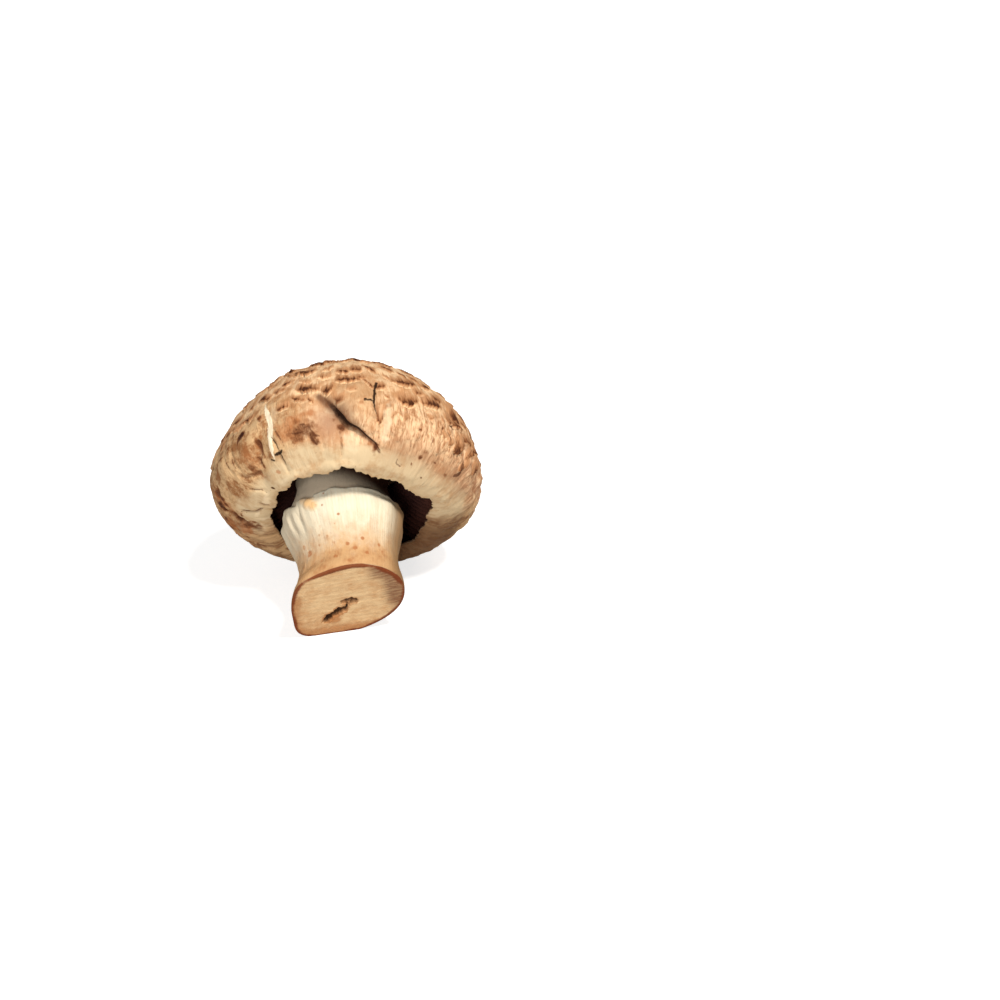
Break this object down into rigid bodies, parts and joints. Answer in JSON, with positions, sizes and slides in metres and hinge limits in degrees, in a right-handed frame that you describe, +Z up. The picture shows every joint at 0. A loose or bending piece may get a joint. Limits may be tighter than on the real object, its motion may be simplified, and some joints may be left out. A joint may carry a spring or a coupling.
{
  "type": "button mushroom",
  "caption": "Whole fresh button mushroom lying on its side: scaly domed cap with a torn rim, dark gills inside, and a short stem with a torn veil sleeve and a knife-cut end.",
  "frame": {"origin": "centre of the bounding box at its bottom, on the surface that the mushroom lies on", "axes": "+Z up, -Y the way the cut end of the stem points, +X across the mushroom"},
  "size_m": [0.0546, 0.0516, 0.0495],
  "materials": {
    "cap_skin": "matte cream-tan skin, darker and fibrous at the tips of its scales",
    "gill_flesh": "matte dark chocolate brown",
    "stem_flesh": "matte cream with fine fibres, tan and brown on the cut"
  },
  "bodies": {
    "root": {"cap": "cap_skin", "gills": "gill_flesh", "stem": "stem_flesh"}
  },
  "joints": []
}
